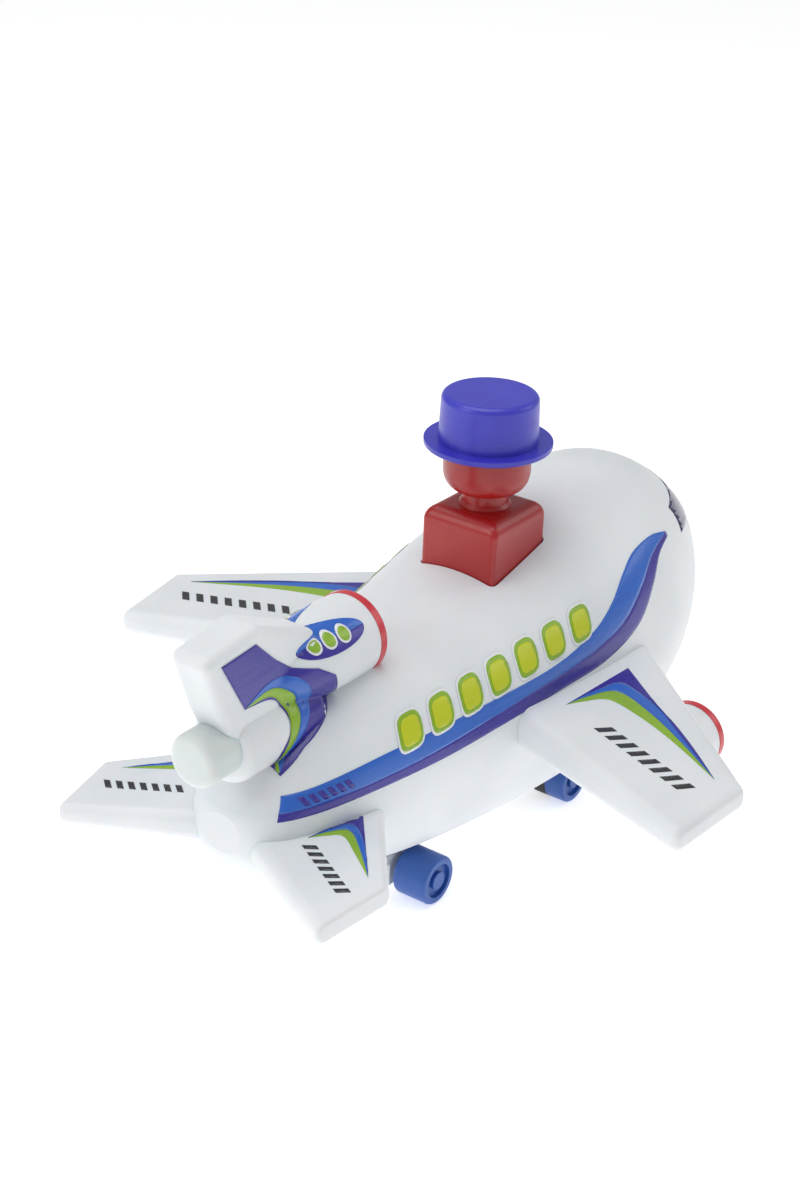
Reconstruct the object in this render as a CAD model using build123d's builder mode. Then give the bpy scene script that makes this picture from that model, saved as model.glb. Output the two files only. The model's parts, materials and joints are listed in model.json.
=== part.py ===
from build123d import *
from math import cos, sin, tan, acos, pi, radians, sqrt, copysign
import os

# Push-and-go toy airplane.  Millimetres, +X to the nose, +Y to port, +Z up.
# The origin is on the floor under the middle of the bounding box.
# Pressing the pilot drives a rack past a pinion; a return spring lifts the pilot again.

# ---------------------------------------------------------------- driving dimensions
nose_x = 112.6            # front tip of the fuselage
wall = 2.0                # moulded wall of the fuselage
seam_z = 49.0             # height of the parting line between the two shells
tip_y = 97.0              # middle of a wing tip
wheel_radius = 7.1
wheel_width = 10.8
track_outer = 26.0        # outer face of each wheel from the centre line
front_axle_x = 32.8
rear_axle_x = -36.8
axle_radius = 1.5
pilot_x = 15.2            # axis of the pilot, hat and head
torso_depth = 25.6        # along X
torso_width = 25.0        # along Y
torso_base_z = 60.0
shoulder_z = 96.0
hat_top_z = 128.6
press_stroke = 10.0       # travel of the pilot when pressed

# ---------------------------------------------------------------- clearances
slide_gap = 0.35          # pilot in the cockpit opening
running_gap = 0.07        # axles and arbor in their bearings
press_gap = 0.02          # parts pressed on a shaft
seat_gap = 0.3            # chassis plate in the belly slot

# ---------------------------------------------------------------- gear train
gear_module = 0.8
pinion_teeth = 14
wheel_teeth = 32
axle_teeth = 10
pressure_angle = radians(20)
addendum = 0.7 * gear_module
dedendum = 1.0 * gear_module
tooth_thinning = 0.2      # play taken off each tooth's thickness
clutch_gap = 0.4          # the big wheel hangs this far out of mesh until pressed
pinion_radius = gear_module * pinion_teeth / 2
arbor_z = wheel_radius + gear_module * (wheel_teeth + axle_teeth) / 2 + 2 * addendum + clutch_gap

# Fuselage stations from tail to nose: x, top, bottom, half width, height of the widest line
stations = [
    (-97.5, 47.5, 36.5, 6.0, 42.0),
    (-95.0, 52.0, 32.0, 11.5, 42.0),
    (-89.0, 58.0, 27.0, 16.2, 43.0),
    (-78.0, 65.0, 22.5, 20.5, 45.0),
    (-60.0, 70.5, 17.0, 25.0, 47.0),
    (-10.0, 77.0, 9.6, 33.3, 49.0),
    (40.0, 88.5, 9.5, 38.0, 49.0),
    (80.0, 91.0, 17.0, 33.0, 49.0),
    (95.0, 83.0, 25.0, 26.5, 50.0),
    (105.0, 73.0, 34.0, 19.0, 51.0),
    (110.5, 64.0, 42.0, 11.0, 52.0),
    (nose_x, 57.0, 49.0, 4.0, 53.0),
]
upper_fullness = 2.25     # superellipse exponents of the section, above and below
lower_fullness = 2.9
points_per_section = 12


def section_points(top, bottom, half_width, waist):
    """Points round one fuselage section, starting on the port side of the widest line."""
    points = []
    for step in range(points_per_section):
        angle = 2 * pi * (step + 0.5) / points_per_section
        fullness = upper_fullness if sin(angle) > 0 else lower_fullness
        height = top - waist if sin(angle) > 0 else waist - bottom
        across = copysign(abs(cos(angle)) ** (2 / fullness), cos(angle)) * half_width
        above = copysign(abs(sin(angle)) ** (2 / fullness), sin(angle)) * height
        points.append((across, waist + above))
    return points


def fuselage(inset):
    """The whole fuselage as one solid, drawn in by the inset all round."""
    with BuildPart() as body:
        last = len(stations) - 1
        for index, (x, top, bottom, half_width, waist) in enumerate(stations):
            if index == 0:
                x += inset
            if index == last:
                x -= inset
            rim = min(inset, half_width * 0.5)
            with BuildSketch(Plane.YZ.offset(x)):
                with BuildLine():
                    Spline(*section_points(top - rim, bottom + rim, half_width - rim, waist), periodic=True)
                make_face()
        loft()
    return body.part


def cylinder_along_y(radius, y_from, y_to, x, z):
    """A round bar along Y between two heights on its axis."""
    return Plane((x, (y_from + y_to) / 2, z), x_dir=(1, 0, 0), z_dir=(0, 1, 0)) * Cylinder(
        radius, abs(y_to - y_from), mode=Mode.PRIVATE
    )


def gear_face(teeth, phase):
    """The outline of an involute spur gear, with a tooth at the phase angle."""
    pitch = gear_module * teeth / 2
    base = pitch * cos(pressure_angle)
    tip = pitch + addendum
    root = pitch - dedendum
    half_tooth = (pi * gear_module / 2 - tooth_thinning) / 2 / pitch
    roll_at_pitch = tan(pressure_angle) - pressure_angle

    def flank_angle(radius):
        if radius <= base:
            return half_tooth + roll_at_pitch
        lean = acos(base / radius)
        return half_tooth + roll_at_pitch - (tan(lean) - lean)

    low = max(root, base)
    radii = [root] if root < base else []
    radii += [low + (tip - low) * share / 4 for share in range(5)]
    outline = []
    for tooth in range(teeth):
        middle = phase + 2 * pi * tooth / teeth
        for radius in radii:
            angle = middle - flank_angle(radius)
            outline.append((radius * cos(angle), radius * sin(angle)))
        for radius in reversed(radii):
            angle = middle + flank_angle(radius)
            outline.append((radius * cos(angle), radius * sin(angle)))
    return outline


outer_form = fuselage(0)
inner_form = fuselage(wall)
finished = []


def keep(builder, name):
    """Labels a finished piece and puts it on the list to be written."""
    builder.part.label = name
    finished.append(builder.part)


# ---------------------------------------------------------------- fuselage shells
opening_depth = torso_depth + 2 * slide_gap
opening_width = torso_width + 2 * slide_gap
sleeve_wall = 1.6
sleeve_base_z = 62.0
plate_top_z = 13.0
plate_bottom_z = 10.2
plate_half_width = 13.4
plate_rear_x = -47.0
plate_front_x = 56.0
rib_top_z = plate_top_z + 3.2
screw_places = [(-20.0, -9.0), (-20.0, 9.0), (51.0, -9.0), (51.0, 9.0)]
boss_radius = 3.4
screw_radius = 1.2
screw_hole_radius = screw_radius + 0.1
arch_gap = 1.6
well_inner_y = track_outer - wheel_width - 0.5

with BuildPart() as upper_shell:
    add(outer_form)
    split(bisect_by=Plane.XY.offset(seam_z), keep=Keep.TOP)
    add(inner_form, mode=Mode.SUBTRACT)
    with BuildSketch(Plane.XY.offset(sleeve_base_z)) as sleeve_sketch:
        with Locations((pilot_x, 0)):
            RectangleRounded(opening_depth + 2 * sleeve_wall, opening_width + 2 * sleeve_wall, 2 + sleeve_wall)
    extrude(amount=24)
    for place in screw_places:
        with BuildSketch(Plane.XY.offset(rib_top_z)) as boss_sketch:
            with Locations(place):
                Circle(boss_radius)
        extrude(amount=80)
    add(outer_form, mode=Mode.INTERSECT)
    with BuildSketch(Plane.XY.offset(sleeve_base_z - 1)) as opening_sketch:
        with Locations((pilot_x, 0)):
            RectangleRounded(opening_depth, opening_width, 2)
    extrude(amount=60, mode=Mode.SUBTRACT)
    for place in screw_places:
        with BuildSketch(Plane.XY.offset(rib_top_z)) as pilot_hole_sketch:
            with Locations(place):
                Circle(screw_hole_radius)
        extrude(amount=12, mode=Mode.SUBTRACT)
keep(upper_shell, "upper_shell")

with BuildPart() as lower_shell:
    add(outer_form)
    split(bisect_by=Plane.XY.offset(seam_z), keep=Keep.BOTTOM)
    add(inner_form, mode=Mode.SUBTRACT)
    for rib_x in (-20.0, 51.0):
        with Locations((rib_x, 0, (plate_top_z + rib_top_z) / 2 + 0.05)):
            Box(2 * boss_radius, 90, rib_top_z - plate_top_z - 0.1)
    add(outer_form, mode=Mode.INTERSECT)
    slot_length = plate_front_x - plate_rear_x + 2 * seat_gap
    with Locations(((plate_front_x + plate_rear_x) / 2, 0, plate_top_z - 10)):
        Box(slot_length, 2 * (plate_half_width + seat_gap), 20, mode=Mode.SUBTRACT)
    for axle_x in (front_axle_x, rear_axle_x):
        for side in (-1, 1):
            add(
                cylinder_along_y(wheel_radius + arch_gap, side * well_inner_y, side * 45, axle_x, wheel_radius),
                mode=Mode.SUBTRACT,
            )
        with Locations((axle_x, 0, 0)):
            Box(2 * (wheel_radius + arch_gap), 90, 2 * wheel_radius, mode=Mode.SUBTRACT)
    for place in screw_places:
        with Locations((place[0], place[1], plate_top_z)):
            Cylinder(screw_hole_radius + 0.2, 10, mode=Mode.SUBTRACT)
keep(lower_shell, "lower_shell")

# ---------------------------------------------------------------- wings and stabilisers
# Each surface: leading and trailing edge x, span y, middle height and thickness, at root and tip
wing_root = (57.2, -11.0, 27.0, 46.5, 12.5)
wing_tip = ((-4.7, 98.7, 47.4), (-33.9, 95.3, 45.4), 7.2)
stabiliser_root = (-40.0, -95.5, 7.0, 38.8, 9.0)
stabiliser_tip = ((-89.4, 47.3, 39.3), (-112.6, 43.3, 36.9), 6.0)


def flying_surface(side, root, tip, edge_round):
    """A tapered, swept slab with rounded edges, from inside the fuselage to its tip."""
    root_le, root_te, root_y, root_z, root_thick = root
    (le_x, le_y, le_z), (te_x, te_y, te_z), tip_thick = tip
    chord = (le_x - te_x, side * (le_y - te_y), le_z - te_z)
    tip_chord = sqrt(chord[0] ** 2 + chord[1] ** 2 + chord[2] ** 2)
    root_middle = ((root_le + root_te) / 2, side * root_y, root_z)
    tip_middle = ((le_x + te_x) / 2, side * (le_y + te_y) / 2, (le_z + te_z) / 2)
    outward = Vector(*chord).cross(Vector(0, 0, 1)) * -side
    with BuildPart() as surface:
        with BuildSketch(Plane(root_middle, x_dir=(1, 0, 0), z_dir=(0, side, 0))):
            RectangleRounded(root_le - root_te, root_thick, root_thick * 0.42)
        with BuildSketch(Plane(tip_middle, x_dir=chord, z_dir=outward)):
            RectangleRounded(tip_chord, tip_thick, tip_thick * 0.42)
        loft(ruled=True)
        outer_face = surface.faces().sort_by(Axis.Y)[-1 if side > 0 else 0]
        fillet(outer_face.edges(), edge_round)
        add(outer_form, mode=Mode.SUBTRACT)
        if len(surface.part.solids()) > 1:
            biggest = surface.part.solids().sort_by(SortBy.VOLUME)[-1]
            add(biggest, mode=Mode.INTERSECT)
    return surface


sides = (("right", -1), ("left", 1))
wings = {}
for name, side in sides:
    wings[name] = flying_surface(side, wing_root, wing_tip, 2.4)
    keep(wings[name], "wing_" + name)
    keep(flying_surface(side, stabiliser_root, stabiliser_tip, 1.2), "stabiliser_" + name)

# ---------------------------------------------------------------- engine pods
ring_width = 2.8
ring_wall = 2.2
pod_y = 60.0
pod_z = 33.2
pod_front_x = 39.7
pod_radius = 10.0
pod_length = 40.0
intake_depth = 7.0
spinner_radius = 3.0
tail_pod_x = -44.1
tail_pod_z = 78.8
tail_pod_radius = 11.5
tail_pod_length = 42.0


def pod_body(front_x, y, z, radius, length):
    """A nacelle along X: full at the front, tapering to a blunt tail, with a hollow intake."""
    mouth_x = front_x - ring_width
    with BuildPart() as pod:
        with BuildSketch(Plane.XZ.offset(-y)):
            with BuildLine():
                Polyline(
                    (mouth_x - length, z), (mouth_x, z), (mouth_x, z + radius - 0.2)
                )
                Spline(
                    (mouth_x, z + radius - 0.2),
                    (mouth_x - length * 0.35, z + radius * 0.97),
                    (mouth_x - length * 0.72, z + radius * 0.74),
                    (mouth_x - length, z + radius * 0.3),
                )
                Line((mouth_x - length, z + radius * 0.3), (mouth_x - length, z))
            make_face()
        revolve(axis=Axis((mouth_x, y, z), (1, 0, 0)))
        with BuildSketch(Plane.YZ.offset(mouth_x - intake_depth)):
            with Locations((y, z)):
                Circle(radius - ring_wall - 0.3)
        extrude(amount=intake_depth + 1, mode=Mode.SUBTRACT)
        with BuildSketch(Plane.YZ.offset(mouth_x - intake_depth)):
            with Locations((y, z)):
                Circle(spinner_radius)
        extrude(amount=intake_depth * 0.7, taper=18)
    return pod


def pod_ring(front_x, y, z, radius):
    """The coloured lip round the intake, resting face to face on the pod's mouth."""
    with BuildPart() as ring:
        with BuildSketch(Plane.YZ.offset(front_x - ring_width)):
            with Locations((y, z)):
                Circle(radius)
                Circle(radius - ring_wall, mode=Mode.SUBTRACT)
        extrude(amount=ring_width)
        fillet(ring.edges().filter_by(GeomType.CIRCLE).group_by(Axis.X)[-1], 0.8)
    return ring


for name, side in sides:
    nacelle = pod_body(pod_front_x, side * pod_y, pod_z, pod_radius, pod_length)
    with BuildPart() as wing_pod:
        add(nacelle.part)
        with Locations((8, side * pod_y, pod_z + 6)):
            Box(24, 5, 12)
        add(wings[name].part, mode=Mode.SUBTRACT)
        with Locations((-3, side * pod_y, wing_root[3] + 10)):
            Box(90, 40, 20, mode=Mode.SUBTRACT)
    keep(wing_pod, "wing_pod_" + name)
    keep(pod_ring(pod_front_x, side * pod_y, pod_z, pod_radius), "wing_pod_ring_" + name)

# ---------------------------------------------------------------- tail: fin, top engine, exhaust
fin_half_thickness = 6.2
exhaust_z = 66.5
exhaust_radius = 10.0
exhaust_rear_x = -98.0
exhaust_length = 30.0
nozzle_radius = 7.4
nozzle_rear_x = -109.0

with BuildPart() as exhaust:
    with BuildSketch(Plane.YZ.offset(exhaust_rear_x)):
        with Locations((0, exhaust_z)):
            Circle(exhaust_radius)
    extrude(amount=exhaust_length)
    fillet(exhaust.edges().sort_by(Axis.X)[0], 3.0)

top_engine = pod_body(tail_pod_x, 0, tail_pod_z, tail_pod_radius, tail_pod_length)

with BuildPart() as tail_fin:
    with BuildSketch(Plane.XZ.offset(-fin_half_thickness)):
        with BuildLine():
            Polyline(
                (-110.2, 97.0), (-90.0, 99.5), (-68.0, 90.0), (-58.0, 78.0), (-58.0, 62.0),
                (-92.0, 60.0), (-98.0, 68.0), (-104.0, 80.0), close=True,
            )
        make_face()
    extrude(amount=2 * fin_half_thickness)
    fillet(tail_fin.edges(), 2.6)
    add(top_engine.part)
    add(exhaust.part)
    add(outer_form, mode=Mode.SUBTRACT)
keep(tail_fin, "tail_fin")

whole_ring = pod_ring(tail_pod_x, 0, tail_pod_z, tail_pod_radius)
with BuildPart() as tail_pod_ring:
    add(whole_ring.part)
    add(outer_form, mode=Mode.SUBTRACT)
keep(tail_pod_ring, "tail_pod_ring")

with BuildPart() as tail_nozzle:
    with BuildSketch(Plane.YZ.offset(exhaust_rear_x)):
        with Locations((0, exhaust_z + 1)):
            Circle(nozzle_radius)
    extrude(amount=exhaust_rear_x - nozzle_rear_x, dir=(-1, 0, 0))
    fillet(tail_nozzle.edges().sort_by(Axis.X)[0], 2.4)
    add(tail_fin.part, mode=Mode.SUBTRACT)
keep(tail_nozzle, "tail_nozzle")

# ---------------------------------------------------------------- chassis and gearbox
box_half_width = track_outer - wheel_width - 2.0
box_height = 4.0          # the axle boxes reach this far below the axle's centre
post_radius = 2.8
spring_x = 11.5
frame_inner_y = 10.6
frame_thickness = 2.0
frame_half_length = 12.0
frame_top_z = arbor_z + 6
arbor_length = 2 * (frame_inner_y + frame_thickness)
big_wheel_y = 6.0
big_wheel_width = 3.0
axle_gear_pocket = gear_module * axle_teeth / 2 + addendum + 0.8
rack_half_width = 2.6
rack_front_x = front_axle_x - pinion_radius + addendum
rack_back_x = front_axle_x - pinion_radius - 4.4

with BuildPart() as chassis_plate:
    with Locations(((plate_front_x + plate_rear_x) / 2, 0, (plate_top_z + plate_bottom_z) / 2)):
        Box(plate_front_x - plate_rear_x, 2 * plate_half_width, plate_top_z - plate_bottom_z)
    pad_x = -2.0
    with Locations((pad_x, 0, plate_bottom_z - 1.2)):
        Box(36, 22, 2.4)
    for axle_x in (front_axle_x, rear_axle_x):
        with Locations((axle_x, 0, (plate_bottom_z + wheel_radius - box_height) / 2)):
            Box(11, 2 * box_half_width, plate_bottom_z - wheel_radius + box_height)
        add(
            cylinder_along_y(axle_radius + running_gap, -30, 30, axle_x, wheel_radius),
            mode=Mode.SUBTRACT,
        )
    with Locations((front_axle_x, big_wheel_y + big_wheel_width / 2, wheel_radius + 5)):
        Box(2 * axle_gear_pocket, big_wheel_width + 1.4, 30, mode=Mode.SUBTRACT)
    with Locations((front_axle_x, big_wheel_y + big_wheel_width / 2, plate_top_z)):
        Box(16, big_wheel_width + 1.4, 3, mode=Mode.SUBTRACT)
    with Locations(((rack_front_x + rack_back_x) / 2, 0, wheel_radius + 5)):
        Box(rack_front_x - rack_back_x + 2, 2 * rack_half_width + 2, 30, mode=Mode.SUBTRACT)
    with BuildSketch(Plane.XY.offset(plate_top_z)):
        with Locations((spring_x, 0)):
            Circle(post_radius)
    extrude(amount=14)
    for place in screw_places:
        with Locations((place[0], place[1], plate_top_z)):
            Cylinder(screw_hole_radius, 20, mode=Mode.SUBTRACT)
        with Locations((place[0], place[1], plate_bottom_z)):
            Cylinder(screw_radius * 2 + 0.2, 3.2, mode=Mode.SUBTRACT)
keep(chassis_plate, "chassis_plate")

with BuildPart() as case_screws:
    head_z = plate_bottom_z + 1.6
    for place in screw_places:
        with BuildSketch(Plane.XY.offset(head_z - 1.4)):
            with Locations(place):
                Circle(screw_radius * 2)
        extrude(amount=1.4)
        with BuildSketch(Plane.XY.offset(head_z)):
            with Locations(place):
                Circle(screw_radius)
        extrude(amount=rib_top_z - head_z + 9)
        for turn in (0, 90):
            with Locations(Location((place[0], place[1], head_z - 1.3), (0, 0, turn))):
                Box(3.0, 0.6, 0.8, mode=Mode.SUBTRACT)
keep(case_screws, "case_screws")

for name, side in sides:
    with BuildPart() as gearbox_frame:
        middle_y = side * (frame_inner_y + frame_thickness / 2)
        frame_height = frame_top_z - plate_top_z
        with Locations((front_axle_x, middle_y, (frame_top_z + plate_top_z) / 2)):
            Box(2 * frame_half_length, frame_thickness, frame_height)
        fillet(gearbox_frame.edges().filter_by(Axis.Y).group_by(Axis.Z)[-1], 5)
        with BuildSketch(Plane.XZ.offset(-side * frame_inner_y)):
            with Locations((front_axle_x, arbor_z - 0.8)):
                SlotOverall(2 * (axle_radius + running_gap) + 1.6, 2 * (axle_radius + running_gap), rotation=90)
        extrude(amount=4, both=True, mode=Mode.SUBTRACT)
    keep(gearbox_frame, "gearbox_frame_" + name)

with BuildPart() as gear_arbor:
    add(cylinder_along_y(axle_radius, -arbor_length / 2, arbor_length / 2, front_axle_x, arbor_z))
keep(gear_arbor, "gear_arbor")

# ---------------------------------------------------------------- pilot, plunger and spring
seam_x = pilot_x
hat_brim_z = 113.5
head_base_z = 100.2
head_radius = 12.3
neck_radius = 6.7

with BuildPart() as pilot_figure:
    with BuildSketch(Plane.XY.offset(torso_base_z)):
        with Locations((pilot_x, 0)):
            RectangleRounded(torso_depth, torso_width, 2 - slide_gap)
    extrude(amount=shoulder_z - torso_base_z)
    fillet(pilot_figure.edges().group_by(Axis.Z)[-1], 4.2)
    with BuildSketch(Plane.XY.offset(torso_base_z)):
        with Locations((pilot_x, 0)):
            Rectangle(torso_depth - 2 * wall, torso_width - 2 * wall)
    extrude(amount=shoulder_z - torso_base_z - 5, mode=Mode.SUBTRACT)
    with BuildSketch(Plane.XZ):
        with BuildLine():
            Polyline(
                (pilot_x, shoulder_z - 2), (pilot_x + neck_radius + 0.8, shoulder_z - 2),
                (pilot_x + neck_radius + 0.8, shoulder_z + 0.2), (pilot_x + neck_radius, shoulder_z + 1.2),
                (pilot_x + neck_radius, head_base_z),
            )
            Spline(
                (pilot_x + neck_radius, head_base_z),
                (pilot_x + head_radius * 0.86, head_base_z + 1.6),
                (pilot_x + head_radius, head_base_z + 6.5),
                tangents=[(1, 0.1), (0, 1)],
            )
            Polyline(
                (pilot_x + head_radius, head_base_z + 6.5), (pilot_x + head_radius, hat_brim_z),
                (pilot_x, hat_brim_z), (pilot_x, shoulder_z - 2),
            )
        make_face()
    revolve(axis=Axis((pilot_x, 0, 0), (0, 0, 1)))

for name, half in (("rear", Keep.BOTTOM), ("front", Keep.TOP)):
    with BuildPart() as pilot_half:
        add(pilot_figure.part)
        split(bisect_by=Plane.YZ.offset(seam_x), keep=half)
    keep(pilot_half, f"pilot_{name}_half")

with BuildPart() as hat:
    with BuildSketch(Plane.XY.offset(hat_brim_z)):
        with Locations((pilot_x, 0)):
            Circle(18.0)
    extrude(amount=1.6)
    with BuildSketch(Plane.XY.offset(hat_brim_z + 1.6)):
        with Locations((pilot_x, 0)):
            Circle(14.0)
    extrude(amount=hat_top_z - hat_brim_z - 1.6, taper=2)
    fillet(hat.edges().group_by(Axis.Z)[-1], 1.8)
    fillet(hat.edges().group_by(Axis.Z)[0], 0.6)
keep(hat, "hat")

flange_thickness = 2.4
rack_pitch = pi * gear_module
rack_end_z = arbor_z - 3.0
spring_radius = 4.6
wire_radius = 0.5
spring_base_z = plate_top_z + wire_radius
spring_top_z = torso_base_z - flange_thickness - wire_radius
spring_coils = 9

with BuildPart() as plunger_rack:
    with Locations((pilot_x, 0, torso_base_z - flange_thickness / 2)):
        Box(torso_depth - 1, torso_width - 1, flange_thickness)
    plug_gap = 0.2
    with Locations((pilot_x, 0, torso_base_z + 2)):
        Box(torso_depth - 2 * wall - plug_gap, torso_width - 2 * wall - plug_gap, 4)
        Box(torso_depth - 4 * wall, torso_width - 4 * wall, 4.2, mode=Mode.SUBTRACT)
    root_x = front_axle_x - pinion_radius - dedendum
    with Locations(((root_x + rack_back_x) / 2, 0, (rack_end_z + torso_base_z - 1) / 2)):
        Box(root_x - rack_back_x, 2 * rack_half_width, torso_base_z - 1 - rack_end_z)
    slope = tan(pressure_angle)
    half_pitch_tooth = rack_pitch / 4 - tooth_thinning / 2
    with BuildSketch(Plane.XZ.offset(-rack_half_width)):
        for tooth in range(-1, 7):
            middle_z = arbor_z + tooth * rack_pitch
            half_root = half_pitch_tooth + dedendum * slope
            half_tip = half_pitch_tooth - addendum * slope
            with BuildLine():
                Polyline(
                    (root_x - 0.5, middle_z - half_root), (root_x, middle_z - half_root),
                    (rack_front_x, middle_z - half_tip), (rack_front_x, middle_z + half_tip),
                    (root_x, middle_z + half_root), (root_x - 0.5, middle_z + half_root), close=True,
                )
            make_face()
    extrude(amount=2 * rack_half_width)
keep(plunger_rack, "plunger_rack")

with BuildPart() as return_spring:
    with BuildLine() as coil_line:
        Helix(
            pitch=(spring_top_z - spring_base_z) / spring_coils,
            height=spring_top_z - spring_base_z,
            radius=spring_radius,
            center=(spring_x, 0, spring_base_z),
        )
    with BuildSketch(Plane(origin=coil_line.line @ 0, z_dir=coil_line.line % 0)):
        Circle(wire_radius)
    sweep(is_frenet=True)
keep(return_spring, "return_spring")

# ---------------------------------------------------------------- gears
hub_radius = 3.0
pinion_half_width = 3.2
half_tooth_turn = pi / pinion_teeth


def gear_slice(teeth, phase, y_from, y_to, x, z):
    """A gear lying in the XZ plane, between two values of Y."""
    with BuildPart() as gear:
        with BuildSketch(Plane((x, y_from, z), x_dir=(1, 0, 0), z_dir=(0, 1, 0))):
            with BuildLine():
                Polyline(*gear_face(teeth, phase), close=True)
            make_face()
        extrude(amount=y_to - y_from)
    return gear.part


hub_end = frame_inner_y - 0.3
wheel_end = big_wheel_y + big_wheel_width
pinion = gear_slice(
    pinion_teeth, half_tooth_turn, -pinion_half_width, pinion_half_width, front_axle_x, arbor_z
)
big_wheel = gear_slice(wheel_teeth, pi / wheel_teeth, big_wheel_y, wheel_end, front_axle_x, arbor_z)
small_gear = gear_slice(axle_teeth, pi / 2, big_wheel_y, wheel_end, front_axle_x, wheel_radius)

with BuildPart() as drive_gear:
    add(pinion)
    add(big_wheel)
    add(cylinder_along_y(hub_radius, -hub_end, hub_end, front_axle_x, arbor_z))
    add(
        cylinder_along_y(axle_radius + running_gap, -12, 12, front_axle_x, arbor_z),
        mode=Mode.SUBTRACT,
    )
keep(drive_gear, "drive_gear")

with BuildPart() as axle_gear:
    add(small_gear)
    add(
        cylinder_along_y(axle_radius + press_gap, 0, 12, front_axle_x, wheel_radius),
        mode=Mode.SUBTRACT,
    )
keep(axle_gear, "axle_gear")

# ---------------------------------------------------------------- wheels and axles
rubber_width = 4.6
rubber_depth = 1.3
hubcap_radius = 2.6
recess_radius = 5.0
recess_depth = 1.1
axle_end = track_outer - 3.0


def road_wheel(side, axle_x, with_groove):
    """A moulded wheel with a rounded tread, a ringed outer face and a blind axle bore."""
    inner_y = side * (track_outer - wheel_width)
    outer_y = side * track_outer
    with BuildPart() as wheel:
        add(cylinder_along_y(wheel_radius, inner_y, outer_y, axle_x, wheel_radius))
        fillet(wheel.edges().filter_by(GeomType.CIRCLE), 0.9)
        face_y = outer_y - side * recess_depth
        add(
            cylinder_along_y(recess_radius, face_y, outer_y + side, axle_x, wheel_radius)
            - cylinder_along_y(hubcap_radius, face_y - side, outer_y + 2 * side, axle_x, wheel_radius),
            mode=Mode.SUBTRACT,
        )
        bore_end = side * (axle_end + 0.1)
        add(
            cylinder_along_y(axle_radius + press_gap, inner_y - side, bore_end, axle_x, wheel_radius),
            mode=Mode.SUBTRACT,
        )
        if with_groove:
            groove_y = inner_y + side * rubber_width
            add(
                cylinder_along_y(wheel_radius + 1, inner_y - side, groove_y, axle_x, wheel_radius)
                - cylinder_along_y(wheel_radius - rubber_depth, inner_y - 2 * side, groove_y + side, axle_x, wheel_radius),
                mode=Mode.SUBTRACT,
            )
    return wheel


for axle_name, axle_x, grooved in (("front", front_axle_x, True), ("rear", rear_axle_x, False)):
    for name, side in sides:
        keep(road_wheel(side, axle_x, grooved), f"{axle_name}_wheel_{name}")
    with BuildPart() as axle:
        add(cylinder_along_y(axle_radius, -axle_end, axle_end, axle_x, wheel_radius))
    keep(axle, f"{axle_name}_axle")

for name, side in sides:
    with BuildPart() as traction_ring:
        inner_y = side * (track_outer - wheel_width)
        groove_y = inner_y + side * rubber_width
        add(
            cylinder_along_y(wheel_radius, inner_y, groove_y, front_axle_x, wheel_radius)
            - cylinder_along_y(
                wheel_radius - rubber_depth, inner_y - side, groove_y + side, front_axle_x, wheel_radius
            )
        )
    keep(traction_ring, "traction_ring_" + name)

# ---------------------------------------------------------------- write the parts
os.makedirs("parts", exist_ok=True)
for piece in finished:
    export_step(piece, f"parts/{piece.label}.step")
    print(piece.label, len(piece.solids()), round(piece.volume))
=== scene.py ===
# %% [markdown]
# # A toy airplane with a press-down pilot
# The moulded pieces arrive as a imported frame, already in place and in metres. This lesson gives
# them their finishes, and adds what a toy maker adds last: the printed foil stickers. A sticker
# is a thin film cut flat and rubbed onto a curved shell, so each one starts here as a flat
# sheet that is projected onto the shell below it.

# %% Load the frame
import json
import math

import bmesh
import bpy
from mathutils import Matrix, Vector
from mathutils.bvhtree import BVHTree
from mathutils.geometry import interpolate_bezier


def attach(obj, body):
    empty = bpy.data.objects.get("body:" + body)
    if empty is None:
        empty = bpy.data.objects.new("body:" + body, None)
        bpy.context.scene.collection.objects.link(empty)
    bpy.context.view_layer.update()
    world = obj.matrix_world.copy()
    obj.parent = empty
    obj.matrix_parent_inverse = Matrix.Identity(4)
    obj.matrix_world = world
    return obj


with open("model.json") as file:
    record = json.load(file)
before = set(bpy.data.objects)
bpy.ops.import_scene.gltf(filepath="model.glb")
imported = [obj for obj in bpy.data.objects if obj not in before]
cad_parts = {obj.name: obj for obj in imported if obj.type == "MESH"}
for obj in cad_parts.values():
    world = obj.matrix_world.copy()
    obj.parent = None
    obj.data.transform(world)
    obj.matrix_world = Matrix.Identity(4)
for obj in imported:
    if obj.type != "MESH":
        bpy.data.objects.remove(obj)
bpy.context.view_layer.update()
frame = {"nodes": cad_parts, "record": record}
MM = 0.001
print("frame nodes:", len(frame["nodes"]))

# %% [markdown]
# ## Camera, floor and light
# The toy is shown from behind its right wing and from above, on white, in the soft even light
# of a product table. A long lens keeps the shape true. Big area lights make broad, gentle
# highlights on the glossy hat and pilot without hard edges on the white shell.

# %% Camera
CAMERA_PLACE = (-0.4441, -0.3028, 0.3352)
CAMERA_BACK = (-0.7278, -0.5243, 0.4420)      # from the toy towards the camera
CAMERA_ROLL = 2.1                             # degrees
LENS = 64.1                                   # millimetres


def aimed_rotation(back, roll_degrees):
    """A camera's axes from the direction behind it and its roll."""
    level = Vector((0, 0, 1)).cross(back).normalized()
    up = back.cross(level)
    roll = math.radians(roll_degrees)
    right = level * math.cos(roll) + up * math.sin(roll)
    top = up * math.cos(roll) - level * math.sin(roll)
    return Matrix((right, top, back)).transposed().to_4x4()


camera_data = bpy.data.cameras.new("product_camera")
camera_data.lens = LENS
camera_data.sensor_width = 36
camera = bpy.data.objects.new("product_camera", camera_data)
bpy.context.scene.collection.objects.link(camera)
turn = aimed_rotation(Vector(CAMERA_BACK).normalized(), CAMERA_ROLL)
camera.matrix_world = Matrix.Translation(CAMERA_PLACE) @ turn
bpy.context.scene.camera = camera
bpy.context.scene.view_settings.view_transform = "Standard"
print("camera distance:", round(camera.location.length, 3))

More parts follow.
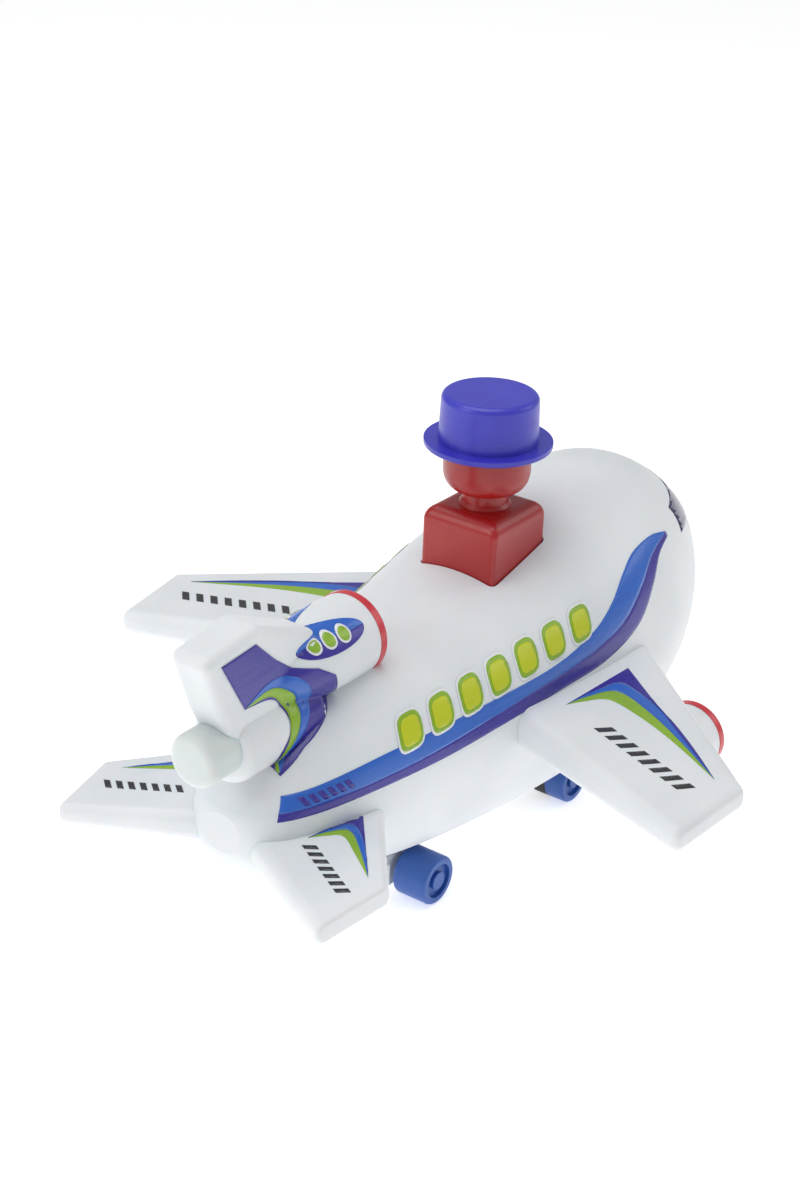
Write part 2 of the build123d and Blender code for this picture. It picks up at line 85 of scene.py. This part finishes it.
# %% White room and lights
AIM = Vector((0, 0, 0.05))                    # the middle of the toy
world = bpy.data.worlds.new("white_room")
bpy.context.scene.world = world
world.use_nodes = True
world.node_tree.nodes["Background"].inputs["Color"].default_value = (0.97, 0.98, 1.0, 1)
world.node_tree.nodes["Background"].inputs["Strength"].default_value = 0.42


def soft_light(name, place, size, power):
    """An area light that faces the middle of the toy."""
    lamp = bpy.data.lights.new(name, "AREA")
    lamp.shape = "DISK"
    lamp.size = size
    lamp.energy = power
    holder = bpy.data.objects.new(name, lamp)
    bpy.context.scene.collection.objects.link(holder)
    holder.location = place
    holder.rotation_euler = (AIM - Vector(place)).to_track_quat("-Z", "Y").to_euler()


soft_light("overhead", (-0.1, 0.1, 0.9), 0.8, 3.6)
soft_light("from_the_left", (-0.7, 0.35, 0.5), 0.5, 1.5)
soft_light("from_the_nose", (0.6, -0.5, 0.5), 0.5, 0.8)
print("lights:", len(bpy.data.lights))

# %% Floor
floor_mesh = bmesh.new()
bmesh.ops.create_grid(floor_mesh, x_segments=1, y_segments=1, size=3.0)
floor_data = bpy.data.meshes.new("floor")
floor_mesh.to_mesh(floor_data)
floor_mesh.free()
floor = bpy.data.objects.new("floor", floor_data)
bpy.context.scene.collection.objects.link(floor)
floor_paint = bpy.data.materials.new("white_table")
floor_paint.use_nodes = True
floor_shader = floor_paint.node_tree.nodes["Principled BSDF"]
floor_shader.inputs["Base Color"].default_value = (0.9, 0.9, 0.9, 1)
floor_shader.inputs["Roughness"].default_value = 0.9
floor_shader.inputs["Emission Color"].default_value = (1, 1, 1, 1)
floor_shader.inputs["Emission Strength"].default_value = 0.55
floor_data.materials.append(floor_paint)
print("floor is set")

# %% [markdown]
# ## One moulded surface for every finish
# Injection-moulded plastic is never one flat colour. Melt flow leaves faint cloudy patches, the
# polished steel mould leaves a very fine orange peel, and handling leaves hairline scuffs that
# are a little rougher than the skin round them. All the finishes here need those three things,
# so they live in one shader node group with named inputs, placed in each material with its own
# values. The group gives out only a colour, a roughness and a normal.

# %% Shared node group
def new_group(name, inputs, outputs):
    """An empty shader group with the named sockets."""
    group = bpy.data.node_groups.new(name, "ShaderNodeTree")
    for label, kind, value in inputs:
        socket = group.interface.new_socket(label, in_out="INPUT", socket_type=kind)
        socket.default_value = value
    for label, kind in outputs:
        group.interface.new_socket(label, in_out="OUTPUT", socket_type=kind)
    return group


moulded = new_group(
    "moulded_surface",
    [
        ("Colour", "NodeSocketColor", (0.8, 0.8, 0.8, 1)),
        ("Cloud colour", "NodeSocketColor", (0.7, 0.7, 0.7, 1)),
        ("Roughness", "NodeSocketFloat", 0.4),
        ("Scuffs", "NodeSocketFloat", 0.15),
        ("Peel", "NodeSocketFloat", 0.1),
        ("Cloud size", "NodeSocketFloat", 30.0),
    ],
    [("Colour", "NodeSocketColor"), ("Roughness", "NodeSocketFloat"), ("Normal", "NodeSocketVector")],
)


def wire_moulded_surface(group):
    """Clouds mix the two colours, stretched noise makes scuffs, and fine noise makes the peel."""
    nodes, links = group.nodes, group.links
    given = nodes.new("NodeGroupInput")
    made = nodes.new("NodeGroupOutput")
    place = nodes.new("ShaderNodeTexCoord")

    clouds = nodes.new("ShaderNodeTexNoise")
    clouds.inputs["Detail"].default_value = 3
    cloud_ramp = nodes.new("ShaderNodeValToRGB")
    cloud_ramp.color_ramp.elements[0].position = 0.42
    cloud_ramp.color_ramp.elements[1].position = 0.68
    cloud_mix = nodes.new("ShaderNodeMix")
    cloud_mix.data_type = "RGBA"
    links.new(place.outputs["Object"], clouds.inputs["Vector"])
    links.new(given.outputs["Cloud size"], clouds.inputs["Scale"])
    links.new(clouds.outputs["Fac"], cloud_ramp.inputs["Fac"])
    links.new(cloud_ramp.outputs["Color"], cloud_mix.inputs["Factor"])
    links.new(given.outputs["Colour"], cloud_mix.inputs["A"])
    links.new(given.outputs["Cloud colour"], cloud_mix.inputs["B"])
    links.new(cloud_mix.outputs["Result"], made.inputs["Colour"])

    stretch = nodes.new("ShaderNodeMapping")
    stretch.inputs["Scale"].default_value = (40, 260, 420)
    stretch.inputs["Rotation"].default_value = (0.2, 0.5, 0.7)
    scratches = nodes.new("ShaderNodeTexNoise")
    scratches.inputs["Scale"].default_value = 1.0
    scratches.inputs["Detail"].default_value = 6
    scratch_ramp = nodes.new("ShaderNodeMapRange")
    scratch_ramp.inputs["From Min"].default_value = 0.55
    scratch_ramp.inputs["From Max"].default_value = 0.75
    scaled = nodes.new("ShaderNodeMath")
    scaled.operation = "MULTIPLY"
    rougher = nodes.new("ShaderNodeMath")
    rougher.operation = "ADD"
    rougher.use_clamp = True
    links.new(place.outputs["Object"], stretch.inputs["Vector"])
    links.new(stretch.outputs["Vector"], scratches.inputs["Vector"])
    links.new(scratches.outputs["Fac"], scratch_ramp.inputs["Value"])
    links.new(scratch_ramp.outputs["Result"], scaled.inputs[0])
    links.new(given.outputs["Scuffs"], scaled.inputs[1])
    links.new(scaled.outputs["Value"], rougher.inputs[0])
    links.new(given.outputs["Roughness"], rougher.inputs[1])
    links.new(rougher.outputs["Value"], made.inputs["Roughness"])

    peel = nodes.new("ShaderNodeTexNoise")
    peel.inputs["Scale"].default_value = 700
    peel.inputs["Detail"].default_value = 2
    bump = nodes.new("ShaderNodeBump")
    bump.inputs["Distance"].default_value = 0.0001
    links.new(place.outputs["Object"], peel.inputs["Vector"])
    links.new(peel.outputs["Fac"], bump.inputs["Height"])
    links.new(given.outputs["Peel"], bump.inputs["Strength"])
    links.new(bump.outputs["Normal"], made.inputs["Normal"])


wire_moulded_surface(moulded)
print("group sockets:", len(moulded.interface.items_tree))

# %% [markdown]
# ## The finishes
# The shell and wings are a soft, slightly cool white polythene-like plastic that lets a little
# light in, so it gets some subsurface scattering and a satin skin. The pilot and the intake lips
# are glossy red, the hat is a violet blue, the wheels are a mid blue, and the drive is natural
# acetal and bright steel. Each is one call with its own numbers.

# %% Finish maker
def finish(name, colour, cloud, roughness, scuffs=0.12, peel=0.12, cloud_size=30.0, metal=0.0,
           coat=0.0, scatter=0.0):
    """A Principled material whose colour, roughness and normal come from the moulded surface."""
    material = bpy.data.materials.new(name)
    material.use_nodes = True
    nodes, links = material.node_tree.nodes, material.node_tree.links
    shader = nodes["Principled BSDF"]
    surface = nodes.new("ShaderNodeGroup")
    surface.node_tree = moulded
    surface.inputs["Colour"].default_value = (*colour, 1)
    surface.inputs["Cloud colour"].default_value = (*cloud, 1)
    surface.inputs["Roughness"].default_value = roughness
    surface.inputs["Scuffs"].default_value = scuffs
    surface.inputs["Peel"].default_value = peel
    surface.inputs["Cloud size"].default_value = cloud_size
    links.new(surface.outputs["Colour"], shader.inputs["Base Color"])
    links.new(surface.outputs["Roughness"], shader.inputs["Roughness"])
    links.new(surface.outputs["Normal"], shader.inputs["Normal"])
    shader.inputs["Metallic"].default_value = metal
    shader.inputs["Coat Weight"].default_value = coat
    shader.inputs["Coat Roughness"].default_value = 0.12
    shader.inputs["Subsurface Weight"].default_value = scatter
    shader.inputs["Subsurface Scale"].default_value = 0.003
    return material


shell_white = finish("shell_white", (0.80, 0.82, 0.84), (0.74, 0.77, 0.79), 0.42, scatter=0.15)
milky_white = finish("milky_white", (0.72, 0.77, 0.76), (0.64, 0.70, 0.69), 0.35, scatter=0.4)
chassis_white = finish("chassis_white", (0.66, 0.69, 0.71), (0.58, 0.61, 0.63), 0.5)
trim_red = finish("trim_red", (0.62, 0.03, 0.045), (0.52, 0.02, 0.035), 0.3, coat=0.3)
pilot_red = finish("pilot_red", (0.42, 0.012, 0.011), (0.34, 0.008, 0.008), 0.34, coat=0.2)
hat_blue = finish("hat_blue", (0.045, 0.045, 0.52), (0.035, 0.03, 0.44), 0.36, coat=0.15)
wheel_blue = finish("wheel_blue", (0.03, 0.11, 0.42), (0.02, 0.08, 0.33), 0.4)
rubber_black = finish("rubber_black", (0.018, 0.018, 0.02), (0.03, 0.03, 0.03), 0.75, peel=0.5)
acetal = finish("acetal", (0.78, 0.76, 0.68), (0.70, 0.67, 0.58), 0.4)
bright_steel = finish("bright_steel", (0.62, 0.62, 0.64), (0.5, 0.5, 0.52), 0.28, metal=1.0)
print("finishes are ready")

# %% Dress the frame nodes
dress = {
    "white_shell": shell_white,
    "milky_nozzle": milky_white,
    "red_trim": trim_red,
    "pilot_red": pilot_red,
    "hat_blue": hat_blue,
    "wheel_blue": wheel_blue,
    "traction_rubber": rubber_black,
    "chassis_grey": chassis_white,
    "gear_natural": acetal,
    "steel": bright_steel,
}
slot_of = {part["node"]: part["material_slot"] for part in frame["record"]["subparts"]}
for node_name, node in frame["nodes"].items():
    node.data.materials.clear()
    node.data.materials.append(dress[slot_of[node_name]])
print("dressed", len(slot_of), "nodes")

# %% [markdown]
# ## Stickers
# The real stickers are printed foil, pressed on by hand. To copy that, each one is a flat sheet
# in millimetres, fine enough to bend, and each of its points is shot along one direction until
# it meets the shell. A Solidify modifier then gives the film its thickness. The same sheet is
# shot at both sides of the toy.

# %% What a sticker lies on
FILM = 0.10               # thickness of one layer of film, in millimetres
GRID = 1.0                # spacing of the bends in a film, in millimetres
bodies_of_shell = ("upper_shell", "lower_shell", "tail_fin")
sides = (("right", -1), ("left", 1))


def skin_of(*nodes):
    """What a sticker can be pressed onto: a search tree over the named nodes' surfaces."""
    points, faces = [], []
    for node in nodes:
        mesh = frame["nodes"][node].data
        first = len(points)
        points.extend(v.co.copy() for v in mesh.vertices)
        faces.extend([first + i for i in p.vertices] for p in mesh.polygons)
    return BVHTree.FromPolygons(points, faces)


shell_skin = skin_of(*bodies_of_shell)
print("the shell's skin is made from", len(bodies_of_shell), "nodes")

# %% [markdown]
# A sticker's long edges are drawn through a few points. Short Bezier arcs join the
# points into a flowing line, which stays easy to change. A crescent or a band lies between two
# such lines, so it is woven: a plain grid whose rows are moved to run from one line to the other.
# A round or square shape bulges everywhere, so it is cut out whole and then sliced into a fine
# grid with bisect_plane. Cutting a hollow outline that way would leave films across its bend.

# %% Flowing edges
SHARP_CORNER = 0.35       # a turn above this many radians keeps its corner


def flowing(points, steps=6):
    """A smooth line through the points, as short Bezier arcs."""
    line = [Vector(p) for p in points]
    path = []
    for i in range(len(line) - 1):
        before = line[max(i - 1, 0)]
        after = line[min(i + 2, len(line) - 1)]
        handle_out = line[i] + (line[i + 1] - before) / 6
        handle_in = line[i + 1] - (after - line[i]) / 6
        curve = interpolate_bezier(line[i], handle_out, handle_in, line[i + 1], steps + 1)
        path.extend(curve[:-1])
    path.append(line[-1])
    return path


def evenly(edge, count):
    """Points at equal steps along a line, with its sharp corners kept."""
    path = [Vector(p[:2]) for p in edge]
    run = [0.0]
    for a, b in zip(path, path[1:]):
        run.append(run[-1] + (b - a).length)
    points = []
    at = 0
    for step in range(count + 1):
        wanted = run[-1] * step / count
        while at < len(run) - 2 and run[at + 1] < wanted:
            at += 1
        points.append(path[at].lerp(path[at + 1], (wanted - run[at]) / (run[at + 1] - run[at])))
    for a, corner, b in zip(path, path[1:], path[2:]):
        if (corner - a).angle(b - corner) > SHARP_CORNER:
            nearest = min(range(1, count), key=lambda i: (points[i] - corner).length)
            points[nearest] = corner
    return points


print("edges flow through their points")

# %% Woven and sliced sheets
def woven_sheet(one_edge, other_edge):
    """A flat sheet between two edges that run the same way, woven from small quads."""
    length = sum((Vector(b[:2]) - Vector(a[:2])).length for a, b in zip(one_edge, one_edge[1:]))
    along = max(8, round(length / GRID))
    first, second = evenly(one_edge, along), evenly(other_edge, along)
    widest = max((a - b).length for a, b in zip(first, second))
    across = max(2, round(widest / GRID))
    sheet = bmesh.new()
    bmesh.ops.create_grid(sheet, x_segments=along, y_segments=across, size=0.5)
    for vertex in sheet.verts:
        row = round((vertex.co.x + 0.5) * along)
        vertex.co = first[row].lerp(second[row], vertex.co.y + 0.5).to_3d()
    bmesh.ops.remove_doubles(sheet, verts=sheet.verts[:], dist=0.01)
    return sheet


def sliced_sheet(outline):
    """A flat sheet inside a bulging outline, cut along a grid so that it can bend."""
    sheet = bmesh.new()
    corners = []
    for point in outline:
        place = Vector((point[0], point[1], 0))
        if not corners or (place - corners[-1].co).length > 0.02:
            corners.append(sheet.verts.new(place))
    sheet.faces.new(corners)
    sheet.normal_update()
    bmesh.ops.triangulate(sheet, faces=sheet.faces[:])
    for axis in (0, 1):
        low = min(v.co[axis] for v in sheet.verts)
        high = max(v.co[axis] for v in sheet.verts)
        normal = Vector((1, 0, 0)) if axis == 0 else Vector((0, 1, 0))
        for cut in range(1, int((high - low) / GRID) + 1):
            everything = sheet.verts[:] + sheet.edges[:] + sheet.faces[:]
            place = normal * (low + cut * GRID)
            bmesh.ops.bisect_plane(sheet, geom=everything, plane_co=place, plane_no=normal)
    bmesh.ops.remove_doubles(sheet, verts=sheet.verts[:], dist=0.005)
    sheet.normal_update()
    bmesh.ops.triangulate(sheet, faces=sheet.faces[:])
    return sheet


print("sheets can be woven and sliced")

# %% Pressing on
STAND_OFF = 0.20          # how far back each point is shot from, in metres
NEAR_SKIN = 0.17          # how far along a shot that misses looks for the nearest skin
FILM_SHARE = 0.9          # the part of a layer that its film fills
FLANK_Y = 60              # where a flat sheet waits beside the toy, in millimetres
ABOVE_Z = 100             # and above it
AHEAD_X = 150             # and ahead of it


def sticker(name, sheet, lay_flat, towards, skin, material, layer=1, body="airframe"):
    """Presses a flat sheet onto a skin. lay_flat turns its two numbers into a point in mm."""
    towards = Vector(towards).normalized()
    for vertex in sheet.verts:
        start = Vector(lay_flat(vertex.co.x, vertex.co.y)) * MM - towards * STAND_OFF
        hit, normal, _, _ = skin.ray_cast(start, towards)
        if hit is None:
            hit, normal, _, _ = skin.find_nearest(start + towards * NEAR_SKIN)
        if normal.dot(towards) > 0:
            normal = -normal
        vertex.co = hit + normal * (FILM * MM * layer)
    sheet.normal_update()
    facing = sum((f.normal.dot(towards) * f.calc_area() for f in sheet.faces), 0.0)
    if facing > 0:
        bmesh.ops.reverse_faces(sheet, faces=sheet.faces[:])
    mesh = bpy.data.meshes.new(name)
    sheet.to_mesh(mesh)
    sheet.free()
    mesh.shade_smooth()
    mesh.materials.append(material)
    film = bpy.data.objects.new(name, mesh)
    bpy.context.scene.collection.objects.link(film)
    thickness = film.modifiers.new("film", "SOLIDIFY")
    thickness.thickness = FILM * MM * FILM_SHARE
    thickness.offset = -1
    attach(film, body)


def on_side(side):
    """A sticker on a flank: its numbers are x and z, and it is pressed on along Y."""
    return (lambda x, z: (x, side * FLANK_Y, z)), (0, -side, 0)


def on_top(side):
    """A sticker on a wing: its numbers are x and the distance out from the middle."""
    return (lambda x, out: (x, side * out, ABOVE_Z)), (0, 0, -1)


def facing_nose(y, z):
    """A sticker on the front: its numbers are y and z."""
    return (AHEAD_X, y, z)


print("sticker tools are ready")

# %% Foil finishes
def foil(name, colour):
    """Printed foil: its colour barely varies, and it is glossier than the shell."""
    darker = tuple(c * 0.94 for c in colour)
    return finish(name, colour, darker, 0.26, scuffs=0.2, peel=0.05, cloud_size=60.0, coat=0.25)


foil_dark = foil("foil_dark_blue", (0.035, 0.022, 0.30))
foil_blue = foil("foil_blue", (0.022, 0.13, 0.56))
foil_green = foil("foil_green", (0.26, 0.46, 0.02))
foil_yellow = foil("foil_yellow", (0.55, 0.62, 0.01))
foil_white = foil("foil_white", (0.82, 0.84, 0.86))
foil_ink = foil("foil_ink", (0.02, 0.02, 0.025))
foil_glass = foil("foil_glass", (0.05, 0.045, 0.12))
print("foils are ready")

# %% [markdown]
# ## The stripe along each flank
# Two bands run from the tail, low and nearly level, and sweep up past the wing towards the
# windscreen. Three flowing edges make both: the light band lies between the first two, and the dark
# band between the last two.

# %% Flank stripes
stripe_top = [(-89, 53.6), (-61, 56.8), (-30, 58.2), (2, 59.8), (21, 63.6), (32, 68.3),
              (41, 73.9), (49.5, 77.6), (60, 78.8), (68.5, 77.3)]
stripe_middle = [(-91, 49.6), (-71, 50.6), (-46, 52.0), (-20, 54.6), (12, 57.6), (23, 59.2),
                 (36, 62.4), (48, 69.0), (57, 74.6), (68.5, 77.3)]
stripe_bottom = [(-91.8, 47.6), (-69, 48.4), (-41, 49.4), (-17, 51.2), (6, 52.9), (25, 54.4),
                 (42, 59.0), (53, 67.0), (60.5, 73.4), (68.8, 76.0)]
for side_name, side in sides:
    flat, aim = on_side(side)
    light = woven_sheet(flowing(stripe_top), flowing(stripe_middle))
    dark = woven_sheet(flowing(stripe_middle), flowing(stripe_bottom))
    sticker(f"stripe_light_{side_name}", light, flat, aim, shell_skin, foil_blue)
    sticker(f"stripe_dark_{side_name}", dark, flat, aim, shell_skin, foil_dark)
print("stripes pressed on")

# %% [markdown]
# ## A row of windows
# The flank of a toy jet carries bright shapes above the stripe. Here they are plain slanted
# cabin windows: a white border, a green frame and a lime pane, each a little smaller and one
# film higher than the last.

# %% Windows
WINDOW_COUNT = 7
WINDOW_PITCH = 11.4
WINDOW_WIDTH = 9.4
WINDOW_HEIGHT = 9.6
FIRST_WINDOW_X = -50.5
ROW_START = (-56, 59.2)   # x and z of the line that the windows stand on
ROW_RISE = 0.108          # how steeply that line climbs towards the nose
WINDOW_LEAN = 0.22
WINDOW_TILT = 0.105
WINDOW_POINTS = 28
SQUARENESS = 0.6          # 1 is an ellipse, and less is nearer a rectangle


def window_outline(x, z, shrink):
    """A rounded, forward-leaning pane centred on a point."""
    half_width = WINDOW_WIDTH / 2 - shrink
    half_height = WINDOW_HEIGHT / 2 - shrink
    points = []
    for step in range(WINDOW_POINTS):
        turn = 2 * math.pi * step / WINDOW_POINTS
        across = math.copysign(abs(math.cos(turn)) ** SQUARENESS, math.cos(turn)) * half_width
        above = math.copysign(abs(math.sin(turn)) ** SQUARENESS, math.sin(turn)) * half_height
        points.append((x + across + WINDOW_LEAN * above, z + above + WINDOW_TILT * across))
    return points


window_layers = (("border", 0.0, foil_white), ("frame", 0.6, foil_green), ("pane", 1.5, foil_yellow))
for side_name, side in sides:
    flat, aim = on_side(side)
    for count in range(WINDOW_COUNT):
        x = FIRST_WINDOW_X + count * WINDOW_PITCH
        z = ROW_START[1] + (x - ROW_START[0]) * ROW_RISE
        for layer, (part, shrink, material) in enumerate(window_layers):
            name = f"window_{part}_{count + 1}_{side_name}"
            pane = sliced_sheet(window_outline(x, z, shrink))
            sticker(name, pane, flat, aim, shell_skin, material, layer=layer + 2)
print("windows:", WINDOW_COUNT, "each side")

# %% [markdown]
# ## Wing and stabiliser flashes
# Each flying surface carries a swept flash: a dark blue field along the leading edge, then a
# blue and a green band that follow the same bend. Four edges share their two end points. Next to
# the flash, and at the rear end of the stripe, a row of plain slanted bars stands where a real
# one has lettering.

# %% Flashes
wing_edges = [
    [(-0.5, 40.5), (29.0, 42.5), (-7.0, 90.6)],
    [(-0.5, 40.5), (13.0, 42.8), (20.5, 46.5), (14.5, 62.0), (5.0, 76.0), (-7.0, 90.6)],
    [(-0.5, 40.5), (8.0, 42.8), (15.5, 47.5), (11.5, 60.0), (3.5, 74.5), (-7.0, 90.6)],
    [(-0.5, 40.5), (4.5, 43.2), (10.0, 48.2), (7.5, 60.0), (2.0, 73.5), (-7.0, 90.6)],
]
tail_edges = [
    [(-86.0, 19.0), (-68.5, 23.0), (-90.0, 41.2)],
    [(-86.0, 19.0), (-78.5, 20.8), (-73.8, 24.5), (-79.5, 32.0), (-90.0, 41.2)],
    [(-86.0, 19.0), (-80.5, 21.2), (-76.6, 25.0), (-81.5, 32.0), (-90.0, 41.2)],
    [(-86.0, 19.0), (-82.5, 21.6), (-79.6, 25.3), (-83.5, 31.8), (-90.0, 41.2)],
]
flash_foils = (("field", foil_dark), ("blue", foil_blue), ("green", foil_green))


def flash(surface, side_name, side, edges):
    """Three bands between four edges, on one flying surface."""
    skin = skin_of(f"{surface}_{side_name}")
    flat, aim = on_top(side)
    for index, (part, material) in enumerate(flash_foils):
        first = edges[0] if index == 0 else flowing(edges[index])
        sheet = woven_sheet(first, flowing(edges[index + 1]))
        sticker(f"{surface}_flash_{part}_{side_name}", sheet, flat, aim, skin, material)
    return skin


print("each flash has", len(flash_foils), "bands")

# %% Bars in place of lettering
BAR_LEAN = 0.22           # a bar's slant, as a share of its length


def slanted_bars(name, flat, aim, skin, start, end, count, length, width, material=foil_ink, layer=1):
    """Generic bars in a row, where the lettering of such a toy stands."""
    start, end = Vector(start), Vector(end)
    along = (end - start).normalized()
    across = Vector((along.y, -along.x)) * length / 2
    for bar in range(count):
        middle = start.lerp(end, (bar + 0.5) / count)
        lean = along * length * BAR_LEAN
        corners = [
            middle - along * width / 2 - across - lean,
            middle + along * width / 2 - across - lean,
            middle + along * width / 2 + across + lean,
            middle - along * width / 2 + across + lean,
        ]
        sticker(f"{name}_{bar + 1}", sliced_sheet(corners), flat, aim, skin, material, layer=layer)


for side_name, side in sides:
    top = on_top(side)
    wing_skin = flash("wing", side_name, side, wing_edges)
    slanted_bars(f"wing_bar_{side_name}", *top, wing_skin, (-3.5, 53.5), (-15.5, 88.0), 8, 4.6, 2.3)
    tail_skin = flash("stabiliser", side_name, side, tail_edges)
    slanted_bars(f"stabiliser_bar_{side_name}", *top, tail_skin, (-88.0, 20.5), (-98.5, 40.5), 7, 3.4, 1.7)
    flank = on_side(side)
    slanted_bars(f"stripe_bar_{side_name}", *flank, shell_skin, (-86.0, 51.6), (-71.0, 53.0), 6, 2.4, 1.5,
                 material=foil_dark, layer=2)
print("flashes and bars are on")

# %% [markdown]
# ## Fin flash and engine badge
# The fin's dark field wraps down over the exhaust fairing onto the fuselage, with a blue and a
# green band round its lower edge. The engine pod has a two-tone oval with three plain dots.

# %% Fin and pod
fin_outer = [(-104.3, 94.2), (-91.5, 95.4), (-84.0, 88.2), (-78.0, 83.6), (-71.0, 81.6), (-65.5, 78.0),
             (-61.8, 70.2), (-67.6, 67.2), (-78.4, 62.3), (-86.6, 57.4)]
fin_inner = [(-95.6, 79.0), (-86.5, 78.0), (-82.4, 74.6), (-82.0, 69.0), (-85.6, 63.0), (-86.6, 57.4)]
blue_edge = [(-95.3, 79.3), (-86.5, 82.9), (-77.5, 81.2), (-73.0, 75.0), (-76.0, 67.5), (-85.9, 58.2)]
green_edge = [(-95.3, 79.3), (-87.0, 80.9), (-80.5, 78.6), (-77.2, 73.6), (-79.5, 67.0), (-86.2, 58.0)]
last_edge = [(-95.3, 79.2), (-87.0, 78.9), (-83.2, 76.4), (-81.4, 72.6), (-83.0, 66.5), (-86.5, 58.0)]
OVAL_X = -63.8
OVAL_Z = 86.4
OVAL_LENGTH = 12.2        # half of it
DOT_COUNT = 3
DOT_PITCH = 5.2
FIRST_DOT_X = OVAL_X - 6.0


def arc(x, z, wide, high, first_degree, last_degree, steps=24):
    """Points along an ellipse."""
    sweep = last_degree - first_degree
    turns = [math.radians(first_degree + sweep * i / steps) for i in range(steps + 1)]
    return [(x + wide * math.cos(t), z + high * math.sin(t)) for t in turns]


def oval(x, z, wide, high):
    """A round sheet: its outline stops just short of where it started."""
    return sliced_sheet(arc(x, z, wide, high, 0, 345))


for side_name, side in sides:
    flat, aim = on_side(side)
    field = woven_sheet(fin_outer, flowing(fin_inner))
    blue = woven_sheet(flowing(blue_edge), flowing(green_edge))
    green = woven_sheet(flowing(green_edge), flowing(last_edge))
    sticker(f"fin_field_{side_name}", field, flat, aim, shell_skin, foil_dark, layer=2)
    sticker(f"fin_blue_{side_name}", blue, flat, aim, shell_skin, foil_blue, layer=3)
    sticker(f"fin_green_{side_name}", green, flat, aim, shell_skin, foil_green, layer=3)
    upper_half = sliced_sheet(arc(OVAL_X, OVAL_Z, OVAL_LENGTH, 3.0, 0, 180))
    lower_half = sliced_sheet(arc(OVAL_X, OVAL_Z, OVAL_LENGTH, 3.4, 180, 360))
    sticker(f"pod_badge_top_{side_name}", upper_half, flat, aim, shell_skin, foil_blue)
    sticker(f"pod_badge_bottom_{side_name}", lower_half, flat, aim, shell_skin, foil_dark)
    for dot in range(DOT_COUNT):
        x = FIRST_DOT_X + DOT_PITCH * dot
        rim = oval(x, OVAL_Z, 2.3, 2.0)
        middle = oval(x, OVAL_Z, 1.7, 1.5)
        sticker(f"pod_dot_rim_{dot + 1}_{side_name}", rim, flat, aim, shell_skin, foil_white, layer=2)
        sticker(f"pod_dot_{dot + 1}_{side_name}", middle, flat, aim, shell_skin, foil_green, layer=3)
print("tail stickers are on")

# %% [markdown]
# ## Windscreen and face
# The windscreen is two tinted panes on the nose, pressed on from the front. The pilot is a plain
# doll, so its face is two dots and a simple smile of the builder's own, facing forward.

# %% Windscreen panes
BACKWARDS = (-1, 0, 0)
half_windscreen = [(1.2, 84.5), (12, 83.6), (24.6, 80.6), (28.6, 73.0), (16, 71.6), (1.2, 71.0)]
for side_name, side in sides:
    pane = sliced_sheet([(side * y, z) for y, z in half_windscreen])
    sticker(f"windscreen_{side_name}", pane, facing_nose, BACKWARDS, shell_skin, foil_glass)
print("windscreen panes:", len(sides))

# %% Face
EYE_Y = 4.4
EYE_Z = 109.0
SMILE_Z = 107.0
face_skin = skin_of("pilot_front_half")
for side_name, side in sides:
    eye = oval(side * EYE_Y, EYE_Z, 1.2, 1.6)
    sticker(f"eye_{side_name}", eye, facing_nose, BACKWARDS, face_skin, foil_ink, body="pilot")
lower_lip = arc(0, SMILE_Z, 4.6, 3.4, 200, 340)
upper_lip = arc(0, SMILE_Z, 4.6, 2.5, 200, 340)
sticker("smile", woven_sheet(lower_lip, upper_lip), facing_nose, BACKWARDS, face_skin, foil_ink, body="pilot")
print("face is on")
